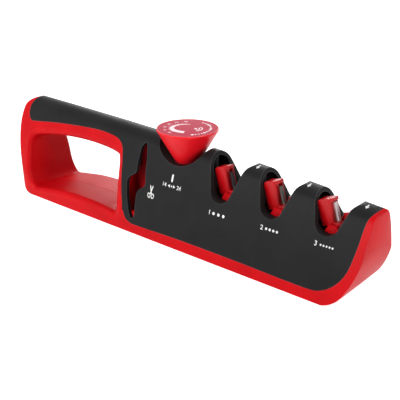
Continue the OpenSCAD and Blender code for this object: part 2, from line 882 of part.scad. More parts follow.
handle_frame();
top_cover();
base_cover();
foot_pads();
cover_screws();
base_screws();
scissor_holder();
scissor_rods();
spindle_bush();
click_spring();
angle_knob();
dial_disc();
knob_spindle();
knob_screw();
click_wheel();
front_slider();
back_slider();
stand(0);  // coarse_stand
stand(1);  // medium_stand
stand(2);  // fine_stand
pivot_pin(0);  // coarse_pivot_pin
pivot_pin(1);  // medium_pivot_pin
pivot_pin(2);  // fine_pivot_pin
arm(0, false);  // coarse_front_arm
arm(1, false);  // medium_front_arm
arm(2, false);  // fine_front_arm
arm(0, true);  // coarse_back_arm
arm(1, true);  // medium_back_arm
arm(2, true);  // fine_back_arm
bar(0, false);  // coarse_front_bar
bar(1, false);  // medium_front_bar
bar(2, false);  // fine_front_bar
bar(0, true);  // coarse_back_bar
bar(1, true);  // medium_back_bar
bar(2, true);  // fine_back_bar
drive_pin(0, false);  // coarse_front_pin
drive_pin(1, false);  // medium_front_pin
drive_pin(2, false);  // fine_front_pin
drive_pin(0, true);  // coarse_back_pin
drive_pin(1, true);  // medium_back_pin
drive_pin(2, true);  // fine_back_pin
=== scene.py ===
# Knife and scissor sharpener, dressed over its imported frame.
# Sizes are in mm and angles in degrees, unless a note says otherwise.
import math

import bmesh
import bpy
from mathutils import Matrix, Vector
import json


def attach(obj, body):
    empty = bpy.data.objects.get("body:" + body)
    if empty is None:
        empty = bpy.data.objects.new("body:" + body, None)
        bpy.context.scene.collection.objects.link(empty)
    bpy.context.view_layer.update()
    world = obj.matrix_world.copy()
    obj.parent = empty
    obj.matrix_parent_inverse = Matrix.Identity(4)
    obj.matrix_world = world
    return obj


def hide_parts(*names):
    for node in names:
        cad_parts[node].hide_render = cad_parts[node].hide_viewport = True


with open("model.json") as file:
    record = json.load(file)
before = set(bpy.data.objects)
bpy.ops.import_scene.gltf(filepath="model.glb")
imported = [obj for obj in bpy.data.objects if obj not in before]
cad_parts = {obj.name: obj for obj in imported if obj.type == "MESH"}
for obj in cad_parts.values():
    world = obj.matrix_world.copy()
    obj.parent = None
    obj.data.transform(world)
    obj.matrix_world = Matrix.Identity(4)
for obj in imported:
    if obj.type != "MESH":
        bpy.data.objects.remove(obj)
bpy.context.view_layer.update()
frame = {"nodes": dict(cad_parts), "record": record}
mm = 0.001

# The body's own surface, the same numbers as the model's arched section
body = {
    "length": 260.0, "halfWidth": 20.7, "crestHeight": 58.85, "tailHeight": 62.79, "tailLength": 130.0,
    "bowRadius": 4300.0, "archHeight": 62.0, "crownRadius": 10.0, "crossShare": 0.999,
}
crownLevel = body["archHeight"] - body["crownRadius"]
archSpan = body["halfWidth"] ** 2 + crownLevel ** 2 - body["crownRadius"] ** 2
sideRadius = body["crossShare"] * archSpan / (2 * (body["halfWidth"] - body["crownRadius"]))


def bowCentre(radius):
    # centre of a crest of this radius through the same two places as the model's, in the side view
    rise = body["tailHeight"] - body["crestHeight"]
    run = body["tailLength"]
    tilt = math.atan2(rise, run) + math.asin(math.hypot(rise, run) / (2 * radius))
    return -radius * math.sin(tilt), body["crestHeight"] - radius * math.cos(tilt)


def crestAt(x, radius):
    centreX, centreZ = bowCentre(radius)
    return centreZ + math.sqrt(radius ** 2 - (x - centreX) ** 2)


def riseAt(x, z):
    # height of a place above the sill, measured square to the bow
    centreX, centreZ = bowCentre(body["bowRadius"])
    return math.hypot(x - centreX, z - centreZ) - body["bowRadius"] + body["archHeight"]


def sideAt(x, z):
    # half width of the body's surface at a place in the side view
    rise = riseAt(x, z)
    side = body["halfWidth"] - sideRadius + math.sqrt(max(0.0, sideRadius ** 2 - rise ** 2))
    over = rise - crownLevel
    if over > 0:
        side = min(side, math.sqrt(max(0.0, body["crownRadius"] ** 2 - over ** 2)))
    return side


def share(value, start, end):
    # how far a value has come from start to end, kept between 0 and 1
    return min(1.0, max(0.0, (value - start) / (end - start)))


def linearColour(text):
    # sRGB hex to the linear values that a shader takes
    parts = [int(text[i:i + 2], 16) / 255 for i in (1, 3, 5)]
    return [c / 12.92 if c <= 0.04045 else ((c + 0.055) / 1.055) ** 2.4 for c in parts] + [1.0]


def addNode(tree, kind, settings=None, links=None):
    # one node, its attributes or socket values, and the links that come into it
    node = tree.nodes.new("ShaderNode" + kind)
    for key, value in (settings or {}).items():
        if isinstance(key, str) and hasattr(node, key):
            setattr(node, key, value)
        else:
            node.inputs[key].default_value = value
    for key, source in (links or {}).items():
        tree.links.new(source, node.inputs[key])
    return node


def freshMaterial(name):
    material = bpy.data.materials.new(name)
    material.use_nodes = True
    material.node_tree.nodes.clear()
    return material, material.node_tree


# What all the plastics share: their grain and its depth as a share of its size, the clouds of their
# pigment, and their lighter edges, partly wear from handling and partly a painted highlight, from the lean
# of an edge that counts to how smooth it gets
mould = {"grainDetail": 3.0, "grainRoughness": 0.6, "depth": 0.25, "cloudDetail": 2.0, "tint": (0.35, 0.65)}
wearAndHighlight = {"leanFrom": 0.995, "leanTo": 0.80, "patchFrom": 0.3, "patchTo": 0.6, "polish": -0.1, "samples": 4}


def edgeWear(tree, widthMm):
    # 1 along edges and 0 on flats, from how far a rounded normal leans away from the true one; it places
    # the edge colour that is partly wear and partly a painted highlight
    rounded = addNode(tree, "Bevel", {"samples": wearAndHighlight["samples"], "Radius": widthMm * mm})
    true = addNode(tree, "NewGeometry")
    lean = addNode(tree, "VectorMath", {"operation": "DOT_PRODUCT"},
                   {0: rounded.outputs["Normal"], 1: true.outputs["Normal"]})
    return addNode(tree, "MapRange", {"From Min": wearAndHighlight["leanFrom"], "From Max": wearAndHighlight["leanTo"]},
                   {"Value": lean.outputs["Value"]}).outputs["Result"]


def mouldedPlastic(name, look):
    # Injection moulded: an even pigment, a fine spark-eroded grain, gloss from the mould's face, and edges
    # that handling has polished, lighter in colour as wear and as a painted highlight
    material, tree = freshMaterial(name)
    place = addNode(tree, "TexCoord").outputs["Object"]
    grain = addNode(tree, "TexNoise", {"Scale": 1 / (look["grainMm"] * mm), "Detail": mould["grainDetail"],
                                       "Roughness": mould["grainRoughness"]}, {"Vector": place})
    cloud = addNode(tree, "TexNoise", {"Scale": 1 / (look["cloudMm"] * mm), "Detail": mould["cloudDetail"]},
                    {"Vector": place})
    tint = addNode(tree, "ValToRGB", {}, {"Fac": cloud.outputs["Fac"]})
    for stop, position, shade in zip(tint.color_ramp.elements, mould["tint"], ("dark", "light")):
        stop.position = position
        stop.color = linearColour(look[shade])
    # edges take a lighter colour: partly wear from handling, partly a painted highlight
    wornAndHighlit = edgeWear(tree, look["edgeMm"])
    patches = addNode(tree, "MapRange", {"From Min": wearAndHighlight["patchFrom"], "From Max": wearAndHighlight["patchTo"]},
                      {"Value": cloud.outputs["Fac"]})
    patchyWearAndHighlight = addNode(tree, "Math", {"operation": "MULTIPLY", "use_clamp": True},
                     {0: wornAndHighlit, 1: patches.outputs["Result"]})
    colour = addNode(tree, "MixRGB", {2: linearColour(look["wornAndHighlit"])},
                     {0: patchyWearAndHighlight.outputs["Value"], 1: tint.outputs["Color"]})
    gloss = addNode(tree, "MapRange", {"To Min": look["smooth"], "To Max": look["rough"]},
                    {"Value": grain.outputs["Fac"]})
    polished = addNode(tree, "Math", {"operation": "MULTIPLY_ADD", 1: wearAndHighlight["polish"]},
                       {0: wornAndHighlit, 2: gloss.outputs["Result"]})
    depth = look["grainMm"] * mm * mould["depth"]
    bump = addNode(tree, "Bump", {"Strength": look["bump"], "Distance": depth},
                   {"Height": grain.outputs["Fac"]})
    shader = addNode(tree, "BsdfPrincipled", {"IOR": look["ior"], "Specular IOR Level": look["specular"]},
                     {"Base Color": colour.outputs["Color"], "Roughness": polished.outputs["Value"],
                      "Normal": bump.outputs["Normal"]})
    addNode(tree, "OutputMaterial", {}, {"Surface": shader.outputs["BSDF"]})
    return material


# smooth and rough are the two ends of the roughness; the grain is drawn coarser than life, so that it shows
# each look's edge colour is partly wear from handling and partly a painted highlight
plasticLooks = {
    # red ABS from a lightly polished mould: an even deep red with a satin gloss
    "redAbsMoulded": {
        "dark": "#c00610", "light": "#ca0812", "wornAndHighlit": "#e2242c", "grainMm": 0.35, "cloudMm": 18.0,
        "edgeMm": 0.5, "smooth": 0.36, "rough": 0.48, "bump": 0.10, "ior": 1.53, "specular": 0.08},
    # black ABS from a spark-eroded mould: matt and finely grained, its edges lighter grey, partly rubbed
    # and partly a painted highlight line
    "blackAbsMoulded": {
        "dark": "#161617", "light": "#1a1a1b", "wornAndHighlit": "#4c4c4e", "grainMm": 0.45, "cloudMm": 14.0,
        "edgeMm": 0.7, "smooth": 0.42, "rough": 0.56, "bump": 0.35, "ior": 1.5, "specular": 0.09},
    # the same black ABS made darker as painted shade for the slot walls, and duller
    "blackAbsPaintedShade": {
        "dark": "#0c0c0d", "light": "#111112", "wornAndHighlit": "#19191a", "grainMm": 0.6, "cloudMm": 10.0,
        "edgeMm": 0.3, "smooth": 0.6, "rough": 0.75, "bump": 0.35, "ior": 1.5, "specular": 0.12},
    # the knob's red ABS, from a polished mould: brighter, with a clear soft highlight
    "redAbsPolished": {
        "dark": "#df121d", "light": "#e91723", "wornAndHighlit": "#f0343c", "grainMm": 0.35, "cloudMm": 12.0,
        "edgeMm": 0.4, "smooth": 0.26, "rough": 0.38, "bump": 0.10, "ior": 1.53, "specular": 0.18},
    # the arms' red ABS, polished too, lighter along its edges: a painted highlight, with some wear where
    # blades rub
    "redAbsEdgesHighlit": {
        "dark": "#b0040d", "light": "#ba0710", "wornAndHighlit": "#e6242c", "grainMm": 0.35, "cloudMm": 8.0,
        "edgeMm": 0.8, "smooth": 0.26, "rough": 0.38, "bump": 0.10, "ior": 1.53, "specular": 0.25},
    # the scissor holder's red ABS, made darker as painted shade of its recess in the slot
    "redAbsPaintedShade": {
        "dark": "#960c14", "light": "#a20f18", "wornAndHighlit": "#b41c24", "grainMm": 0.35, "cloudMm": 12.0,
        "edgeMm": 0.4, "smooth": 0.32, "rough": 0.45, "bump": 0.10, "ior": 1.53, "specular": 0.15},
    # the dial's printed plastic film: a flat matt rose
    "filmPrintedRose": {
        "dark": "#c03c50", "light": "#c64256", "wornAndHighlit": "#ce566a", "grainMm": 0.5, "cloudMm": 6.0,
        "edgeMm": 0.2, "smooth": 0.6, "rough": 0.75, "bump": 0.12, "ior": 1.5, "specular": 0.10},
    # moulded black acetal, for the sliders and the spindle's bush: slippery, with a waxy gloss
    "acetalMouldedBlack": {
        "dark": "#141415", "light": "#19191a", "wornAndHighlit": "#2a2a2c", "grainMm": 0.5, "cloudMm": 5.0,
        "edgeMm": 0.3, "smooth": 0.35, "rough": 0.45, "bump": 0.1, "ior": 1.48, "specular": 0.5},
    # moulded rubber, for the foot pads: dry and dull
    "rubberMoulded": {
        "dark": "#161617", "light": "#1c1c1e", "wornAndHighlit": "#2c2c2e", "grainMm": 0.6, "cloudMm": 5.0,
        "edgeMm": 0.4, "smooth": 0.75, "rough": 0.9, "bump": 0.4, "ior": 1.5, "specular": 0.3},
    # sintered ceramic: warm white and chalky
    "ceramicSintered": {
        "dark": "#ded6d6", "light": "#eae2e2", "wornAndHighlit": "#f2ecec", "grainMm": 0.25, "cloudMm": 3.0,
        "edgeMm": 0.2, "smooth": 0.45, "rough": 0.6, "bump": 0.25, "ior": 1.7, "specular": 0.5},
    # white ink, pad printed on the cover: a thin even coat
    "inkPadPrinted": {
        "dark": "#dededc", "light": "#e9e9e8", "wornAndHighlit": "#d4d4d2", "grainMm": 0.3, "cloudMm": 4.0,
        "edgeMm": 0.1, "smooth": 0.45, "rough": 0.55, "bump": 0.1, "ior": 1.5, "specular": 0.4},
    # pale ink, screen printed on the film: thinner, so that the rose shows through
    "inkScreenPrinted": {
        "dark": "#e8ccd2", "light": "#f0dbe0", "wornAndHighlit": "#dcb0ba", "grainMm": 0.3, "cloudMm": 2.0,
        "edgeMm": 0.1, "smooth": 0.45, "rough": 0.55, "bump": 0.1, "ior": 1.5, "specular": 0.4},
}
# Zinc plated steel, for the screws, the pins, the spindle and the click wheel with its spring
steelLook = {"colour": "#b9bcc1", "markMm": 0.4, "detail": 2.0, "smooth": 0.28, "rough": 0.42}
# Diamond grit: the nickel bond that holds the grains, and the two grits
bond = {"metal": 0.35, "roughness": 0.6, "bump": 0.6, "depth": 0.4, "tint": (0.1, 0.55)}
gritLooks = {
    "diamondPlatedCoarse": {"dark": "#2c2c2f", "light": "#5a5a60", "gritMm": 0.35},
    "diamondPlatedMedium": {"dark": "#67655f", "light": "#98948c", "gritMm": 0.25},
}


def platedSteel(name, look):
    # Turned steel, zinc plated: a bright metal whose plating blurs the light in fine patches
    material, tree = freshMaterial(name)
    place = addNode(tree, "TexCoord").outputs["Object"]
    patches = addNode(tree, "TexNoise", {"Scale": 1 / (look["markMm"] * mm), "Detail": look["detail"]},
                      {"Vector": place})
    gloss = addNode(tree, "MapRange", {"To Min": look["smooth"], "To Max": look["rough"]},
                    {"Value": patches.outputs["Fac"]})
    shader = addNode(tree, "BsdfPrincipled", {"Base Color": linearColour(look["colour"]), "Metallic": 1.0},
                     {"Roughness": gloss.outputs["Result"]})
    addNode(tree, "OutputMaterial", {}, {"Surface": shader.outputs["BSDF"]})
    return material


def diamondGrit(name, look):
    # Electroplated diamond: hard grains in nickel, drawn a little coarser than life so that they show
    material, tree = freshMaterial(name)
    place = addNode(tree, "TexCoord").outputs["Object"]
    grit = addNode(tree, "TexVoronoi", {"Scale": 1 / (look["gritMm"] * mm)}, {"Vector": place})
    tint = addNode(tree, "ValToRGB", {}, {"Fac": grit.outputs["Distance"]})
    for stop, position, shade in zip(tint.color_ramp.elements, bond["tint"], ("light", "dark")):
        stop.position = position
        stop.color = linearColour(look[shade])
    depth = look["gritMm"] * mm * bond["depth"]
    bump = addNode(tree, "Bump", {"Strength": bond["bump"], "Distance": depth},
                   {"Height": grit.outputs["Distance"]})
    shader = addNode(tree, "BsdfPrincipled", {"Metallic": bond["metal"], "Roughness": bond["roughness"]},
                     {"Base Color": tint.outputs["Color"], "Normal": bump.outputs["Normal"]})
    addNode(tree, "OutputMaterial", {}, {"Surface": shader.outputs["BSDF"]})
    return material


materials = {name: mouldedPlastic(name, look) for name, look in plasticLooks.items()}
materials["steelZincPlated"] = platedSteel("steelZincPlated", steelLook)
for gritName, gritLook in gritLooks.items():
    materials[gritName] = diamondGrit(gritName, gritLook)
print("materials ready:", len(materials))

slotFinish = {
    "red_abs": "redAbsMoulded", "black_abs": "blackAbsMoulded", "dial_plastic": "filmPrintedRose",
    "foot_rubber": "rubberMoulded", "zinc_steel": "steelZincPlated",
    "natural_acetal": "acetalMouldedBlack", "dark_diamond": "diamondPlatedCoarse",
    "grey_diamond": "diamondPlatedMedium", "white_ceramic": "ceramicSintered",
}
# painted shade: the scissor holder takes a darker red than its slot's
ownFinish = {"scissor_holder": "redAbsPaintedShade"}  # a node whose shade differs from its slot's
nodeSlot = {part["node"]: part["material_slot"] for part in frame["record"]["subparts"]}
nodeBody = {node: name for name, nodes in frame["record"]["behaviour"]["bodies"].items() for node in nodes}


def paint(thing, material):
    thing.data.materials.clear()
    thing.data.materials.append(materials[material])


for nodeName, nodeObject in frame["nodes"].items():
    paint(nodeObject, ownFinish.get(nodeName, slotFinish[nodeSlot[nodeName]]))
print("frame nodes painted:", len(frame["nodes"]))

# Points this close count as one, and faces this many degrees apart as one flat face
joins = {"weld": 0.0005, "loose": 0.001, "sliver": 0.004, "flat": 0.5}
# Smooth shading: the angle from which an edge stays sharp, and how much large faces count
shading = {"sharpFrom": 40, "shellSharp": 35, "largeFaces": 80}


def placed(name, data):
    # an object at the origin of the scene
    thing = bpy.data.objects.new(name, data)
    bpy.context.scene.collection.objects.link(thing)
    return thing


def addPiece(name, mesh, material, rideOn):
    # a piece that moves with its body
    piece = placed(name, mesh)
    paint(piece, material)
    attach(piece, rideOn)
    return piece


def meshFrom(work, name):
    bmesh.ops.remove_doubles(work, verts=work.verts, dist=joins["weld"] * mm)
    bmesh.ops.recalc_face_normals(work, faces=work.faces)
    mesh = bpy.data.meshes.new(name)
    work.to_mesh(mesh)
    work.free()
    return mesh


def solidCopy(node):
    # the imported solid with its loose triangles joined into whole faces
    work = bmesh.new()
    work.from_mesh(frame["nodes"][node].data)
    bmesh.ops.remove_doubles(work, verts=work.verts, dist=joins["loose"] * mm)
    bmesh.ops.dissolve_limit(work, angle_limit=math.radians(joins["flat"]), verts=work.verts,
                             edges=work.edges)
    return meshFrom(work, node + "Skin")


def applyModifiers(piece):
    graph = bpy.context.evaluated_depsgraph_get()
    mesh = bpy.data.meshes.new_from_object(piece.evaluated_get(graph))
    piece.modifiers.clear()
    piece.data = mesh


def cutAway(piece, cutter):
    cut = piece.modifiers.new("cutAway", "BOOLEAN")
    cut.operation = "DIFFERENCE"
    cut.solver = "EXACT"
    cut.object = cutter
    applyModifiers(piece)
    bpy.data.objects.remove(cutter)


def closeSlivers(piece):
    # slivers that a cut leaves are merged, and what stays open is closed
    work = bmesh.new()
    work.from_mesh(piece.data)
    bmesh.ops.remove_doubles(work, verts=work.verts, dist=joins["sliver"] * mm)
    bmesh.ops.dissolve_degenerate(work, dist=joins["sliver"] * mm, edges=work.edges)
    bmesh.ops.holes_fill(work, edges=[edge for edge in work.edges if edge.is_boundary])
    bmesh.ops.recalc_face_normals(work, faces=work.faces)
    openEdges = sum(1 for edge in work.edges if len(edge.link_faces) != 2)
    print(piece.name, "cm3:", round(work.calc_volume() * 1e6, 3), "open edges:", openEdges)
    work.to_mesh(piece.data)
    work.free()


def softenEdges(piece, edge):
    # edge holds the width, the number of segments and the angle in degrees from which an edge is rounded
    width, segments, angle = edge
    bevel = piece.modifiers.new("softEdges", "BEVEL")
    bevel.width = width * mm
    bevel.segments = segments
    bevel.limit_method = "ANGLE"
    bevel.angle_limit = math.radians(angle)
    bevel.miter_outer = "MITER_ARC"
    applyModifiers(piece)


def smoothShade(mesh, sharpFrom=shading["sharpFrom"]):
    # smooth faces, with the edges that stay sharp marked
    work = bmesh.new()
    work.from_mesh(mesh)
    for face in work.faces:
        face.smooth = True
    for edge in work.edges:
        edge.smooth = len(edge.link_faces) == 2 and edge.calc_face_angle(0) < math.radians(sharpFrom)
    work.to_mesh(mesh)
    work.free()


def evenShade(piece):
    # large faces keep their own shading beside the small ones of a rounded edge
    even = piece.modifiers.new("evenShade", "WEIGHTED_NORMAL")
    even.keep_sharp = True
    even.weight = shading["largeFaces"]


# Where the shells leave the model: the crest, the nose, the handle's end and the rim
shape = {
    # the crest bows a little lower to the front, faded in between two heights
    "crestBow": 3200.0, "fadeFrom": 34.0, "fadeTo": 50.0,
    # the nose in the side view: centre x, centre z and radius of its foot and belly, and where they meet
    "noseFrom": 103.5,
    "modelFoot": (107.0, 16.5, 16.0), "modelBelly": (76.0, 38.0, 54.0), "modelMeet": 7.2,
    "shownFoot": (108.5, 15.75, 15.5), "shownBelly": (74.0, 37.0, 56.0), "shownMeet": 7.8,
    # its upright corners: how level the front face is, how far the flank faces sideways, their angle
    "noseRound": 2.4, "noseSegments": 6, "noseLevel": 0.3, "noseFlank": 0.55, "noseTurn": 0.6,
    # the handle's end: how far it is pushed in at its top and foot; then the rim, which reaches lower
    "tailFrom": -108.0, "tailMiddle": 31.0, "tailFlat": 13.0,
    "tailTop": 2.6, "tailFoot": 1.6, "tailMost": 1.3,
    "sill": 0.5, "sillFrom": 3.0,
    "frameEdge": (0.35, 3, 32), "coverEdge": (0.6, 4, 32),
}


def shownCrest(x):
    return min(crestAt(x, body["bowRadius"]), crestAt(x, shape["crestBow"]))


def noseEnd(z, foot, belly, meet):
    x, centreZ, radius = foot if z < meet else belly
    return x + math.sqrt(max(0.0, radius ** 2 - (z - centreZ) ** 2))


def shownPlace(x, z):
    # where a point of the model's side view is shown
    fade = share(z, shape["fadeFrom"], shape["fadeTo"])
    fallen = z - (crestAt(x, body["bowRadius"]) - shownCrest(x)) * fade * fade * (3 - 2 * fade)
    if x > shape["noseFrom"]:
        old = noseEnd(z, shape["modelFoot"], shape["modelBelly"], shape["modelMeet"])
        new = noseEnd(z, shape["shownFoot"], shape["shownBelly"], shape["shownMeet"])
        x += (new - old) * (x - shape["noseFrom"]) / (old - shape["noseFrom"])
    if x < shape["tailFrom"]:
        # the handle's end is rounder than the model's towards its top and foot
        off = z - shape["tailMiddle"]
        bend = max(0.0, (abs(off) - shape["tailFlat"]) / (shape["tailMiddle"] - shape["tailFlat"])) ** 2
        reach = (shape["tailFrom"] - x) / (shape["tailFrom"] + body["length"] / 2)
        x += (shape["tailTop"] if off > 0 else shape["tailFoot"]) * min(shape["tailMost"], bend) * reach
    if z < shape["sillFrom"]:
        fallen -= shape["sill"] * (shape["sillFrom"] - z) / shape["sillFrom"]
    return min(x, body["length"] / 2), fallen


def reshape(mesh):
    for vert in mesh.vertices:
        x, z = shownPlace(vert.co.x / mm, vert.co.z / mm)
        vert.co.x, vert.co.z = x * mm, z * mm


def roundNose(mesh):
    # the upright corners of the nose, which the moulding rounds much more than its other edges
    work = bmesh.new()
    work.from_mesh(mesh)
    picked = []
    for edge in work.edges:
        if len(edge.link_faces) != 2 or min(vert.co.x for vert in edge.verts) < shape["noseFrom"] * mm:
            continue
        front, flank = (face.normal for face in edge.link_faces)
        if front.x < flank.x:
            front, flank = flank, front
        ahead = front.x > shape["noseLevel"] and abs(front.y) < shape["noseLevel"]
        beside = abs(flank.y) > shape["noseFlank"] and abs(flank.x) < shape["noseLevel"]
        if ahead and beside and front.angle(flank) > shape["noseTurn"]:
            picked.append(edge)
    bmesh.ops.bevel(work, geom=picked, offset=shape["noseRound"] * mm, segments=shape["noseSegments"],
                    profile=0.5, affect="EDGES", material=-1, clamp_overlap=True)
    print("nose edges rounded:", len(picked))
    work.to_mesh(mesh)
    work.free()


# The finger loop of the red frame: its rounded lip, and the seam where the two mould halves met
loop = {
    "lipRadius": 2.6, "lipSteps": 8, "over": 1.5, "grow": 0.12, "bite": 0.03, "proud": 0.02, "behind": 1.0,
    "seamDepth": 0.25, "seamHalf": 0.25, "stepsPerPoint": 8,
    # the opening as shown is smaller than the model's: its low corner and its share of the size
    "modelCorner": (-0.455, 0.099), "shownCorner": (-0.4527, 0.107), "shownShare": (0.9694, 0.9316),
    # the model's opening, in shares of the body's length and height
    "shares": [
        (-0.455, 0.397), (-0.452, 0.215), (-0.433, 0.099), (-0.392, 0.114), (-0.326, 0.153),
        (-0.250, 0.167), (-0.180, 0.159), (-0.135, 0.140), (-0.128, 0.183), (-0.128, 0.350),
        (-0.130, 0.541), (-0.134, 0.668), (-0.145, 0.722), (-0.200, 0.752), (-0.269, 0.757),
        (-0.341, 0.738), (-0.414, 0.693), (-0.443, 0.655), (-0.455, 0.582),
    ],
}


def curvePoint(a, b, c, d, t):
    # a smooth curve through four points, between the middle two
    bend = 2 * a - 5 * b + 4 * c - d
    twist = 3 * b - a - 3 * c + d
    return (2 * b + (c - a) * t + bend * t * t + twist * t ** 3) / 2


def loopPoints(asModel=False):
    shares = loop["shares"]
    if not asModel:
        (x0, z0), (x1, z1), (across, up) = loop["modelCorner"], loop["shownCorner"], loop["shownShare"]
        shares = [(x1 + (x - x0) * across, z1 + (z - z0) * up) for x, z in shares]
    knots = [Vector((x * body["length"], z * body["tailHeight"])) for x, z in shares]
    count = len(knots)
    steps = loop["stepsPerPoint"]
    return [curvePoint(knots[i - 1], knots[i], knots[(i + 1) % count], knots[(i + 2) % count], k / steps)
            for i in range(count) for k in range(steps)]


def outwardFrom(points):
    # the direction away from a closed outline at each of its points
    count = len(points)
    turn = sum(points[i].x * points[(i + 1) % count].y - points[(i + 1) % count].x * points[i].y
               for i in range(count))
    side = 1 if turn > 0 else -1
    runs = [(points[(i + 1) % count] - points[i - 1]).normalized() for i in range(count)]
    return [Vector((run.y, -run.x)) * side for run in runs]


def loopCutter():
    # a plug of the model's opening that widens into a rounded lip at both sides
    points = loopPoints(asModel=True)
    outward = outwardFrom(points)
    radius = loop["lipRadius"]
    # how far each ring stands out from the wall, and how far below the skin
    rings = []
    for step in range(loop["lipSteps"] + 1):
        a = math.radians(90 - 90 * step / loop["lipSteps"])
        rings.append([radius - radius * part(a) - loop["bite"] for part in (math.cos, math.sin)])
    rings.insert(0, (rings[0][0], -loop["over"]))

    def setRing(verts, out, depth, end):
        # without a depth the ring stands at the distance end from the middle
        for vert, point, away in zip(verts, points, outward):
            place = point + away * (out + loop["grow"])
            y = end if depth is None else end * (sideAt(place.x, place.y) - depth)
            vert.co = Vector((place.x, y, place.y)) * mm

    half = loop["seamHalf"]
    order = [(out, depth, -1.0) for out, depth in rings]
    order += [(0.0, None, -half), (loop["seamDepth"], None, 0.0), (0.0, None, half)]
    order += [(out, depth, 1.0) for out, depth in reversed(rings)]
    work = bmesh.new()
    circle = bmesh.ops.create_circle(work, segments=len(points), radius=1.0, cap_ends=True)
    ringVerts = list(circle["verts"])
    setRing(ringVerts, *order[0])
    edges = work.edges[:]
    for place in order[1:]:
        grown = bmesh.ops.extrude_edge_only(work, edges=edges)["geom"]
        edges = [item for item in grown if isinstance(item, bmesh.types.BMEdge)]
        fresh = {item for item in grown if isinstance(item, bmesh.types.BMVert)}
        # the new ring in the same order as the last one
        ringVerts = [next(edge.other_vert(vert) for edge in vert.link_edges
                          if edge.other_vert(vert) in fresh) for vert in ringVerts]
        setRing(ringVerts, *place)
    bmesh.ops.contextual_create(work, geom=edges)
    return placed("loopCutter", meshFrom(work, "loopCutter"))


def makeLoopLip():
    # the lip and lining of the opening as shown, over the wider one that is cut in the frame
    wide = loopPoints(asModel=True)
    start = loop["lipRadius"] + loop["grow"] + loop["proud"]
    work = bmesh.new()
    rings = []
    for old, away, new in zip(wide, outwardFrom(wide), loopPoints()):
        far = old + away * start
        radius = (far - new).length
        hidden = sideAt(far.x, far.y) - loop["behind"]
        lip = []
        for step in range(loop["lipSteps"] + 1):
            a = math.radians(90 * step / loop["lipSteps"])
            place = far + (new - far) * math.sin(a)
            lip.append((place, sideAt(place.x, place.y) - radius * (1 - math.cos(a)) + loop["proud"]))
        groove = new + (far - new).normalized() * loop["seamDepth"]
        path = [(far, -hidden)] + [(place, -y) for place, y in lip]
        path += [(new, -loop["seamHalf"]), (groove, 0.0), (new, loop["seamHalf"])]
        path += list(reversed(lip)) + [(far, hidden)]
        rings.append([work.verts.new(Vector((place.x, y, place.y)) * mm) for place, y in path])
    for i, ring in enumerate(rings):
        for k in range(len(ring)):
            work.faces.new((rings[i - 1][k - 1], rings[i - 1][k], ring[k], ring[k - 1]))
    mesh = meshFrom(work, "loopLip")
    reshape(mesh)
    addPiece("loopLip", mesh, "redAbsMoulded", "housing")
    smoothShade(mesh)


def makeFrame():
    piece = addPiece("frameShell", solidCopy("handle_frame"), "redAbsMoulded", "housing")
    cutAway(piece, loopCutter())
    closeSlivers(piece)
    reshape(piece.data)
    roundNose(piece.data)
    softenEdges(piece, shape["frameEdge"])
    smoothShade(piece.data, shading["shellSharp"])
    evenShade(piece)
    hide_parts("handle_frame")


# The angle knob: a cone with a soft rim that sinks into a round recess of the cover, and its dial film
knob = {
    "x": 7.5, "top": 66.0, "radius": 17.6, "slope": 0.5677, "apexZ": 34.0, "footZ": 45.6, "footRound": 1.3,
    "rimHeight": 1.0, "rimRound": 0.35, "rimWidth": 0.45, "seat": 0.9, "room": 0.3, "turnSteps": 96,
    "shoulderRound": 0.5, "shoulderLift": 0.1, "shoulderRun": 0.6,
    "filmDown": 0.12, "filmGap": 0.05, "filmLift": 0.02, "filmRound": 0.12,
}


def coneRadius(z):
    return knob["slope"] * (z - knob["apexZ"])


def spun(points, name, centreX, steps):
    # a closed outline in radius and height, turned about the upright axis at centreX
    work = bmesh.new()
    verts = [work.verts.new((radius * mm, 0, z * mm)) for radius, z in points]
    edges = [work.edges.new(pair) for pair in zip(verts, verts[1:])]
    bmesh.ops.spin(work, geom=verts + edges, angle=math.tau, steps=steps, axis=(0, 0, 1), cent=(0, 0, 0),
                   use_merge=True)
    bmesh.ops.translate(work, verts=work.verts, vec=(centreX * mm, 0, 0))
    return meshFrom(work, name)


def arcPoints(x, z, radius, start, end, steps=5):
    turns = [math.radians(start + (end - start) * k / steps) for k in range(steps + 1)]
    return [(x + radius * math.cos(a), z + radius * math.sin(a)) for a in turns]


def makeKnob():
    k = knob
    lean = math.degrees(math.atan(k["slope"]))
    shoulder = k["top"] - k["rimHeight"]
    inner = k["radius"] - k["rimWidth"]
    seatZ = k["top"] - k["seat"]
    # centre of the rounded foot, which touches the flat end and the cone
    footX = coneRadius(k["footZ"] + k["footRound"]) - k["footRound"] / math.cos(math.radians(lean))
    outline = [(0.0, k["footZ"])]
    outline += arcPoints(footX, k["footZ"] + k["footRound"], k["footRound"], -90, -lean)
    outline += [(coneRadius(shoulder - k["shoulderRun"]), shoulder - k["shoulderRun"])]
    outline += arcPoints(k["radius"] - k["shoulderRound"], shoulder + k["shoulderLift"], k["shoulderRound"],
                         -lean, 0, 3)
    outline += arcPoints(k["radius"] - k["rimRound"], k["top"] - k["rimRound"], k["rimRound"], 0, 90)
    outline += [(inner, k["top"]), (inner, seatZ), (0.0, seatZ)]
    cone = spun(outline, "knobCone", k["x"], k["turnSteps"])
    piece = addPiece("knobCone", cone, "redAbsPolished", "knob")
    smoothShade(piece.data)
    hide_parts("angle_knob")
    radius = inner - k["filmGap"]
    upper = k["top"] - k["filmDown"]
    film = [(0.0, seatZ + k["filmLift"]), (radius, seatZ + k["filmLift"])]
    film += arcPoints(radius - k["filmRound"], upper - k["filmRound"], k["filmRound"], 0, 90, 3)
    film += [(0.0, upper)]
    piece = addPiece("dialFilm", spun(film, "dialFilm", k["x"], k["turnSteps"]), "filmPrintedRose", "knob")
    smoothShade(piece.data)
    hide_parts("dial_disc")


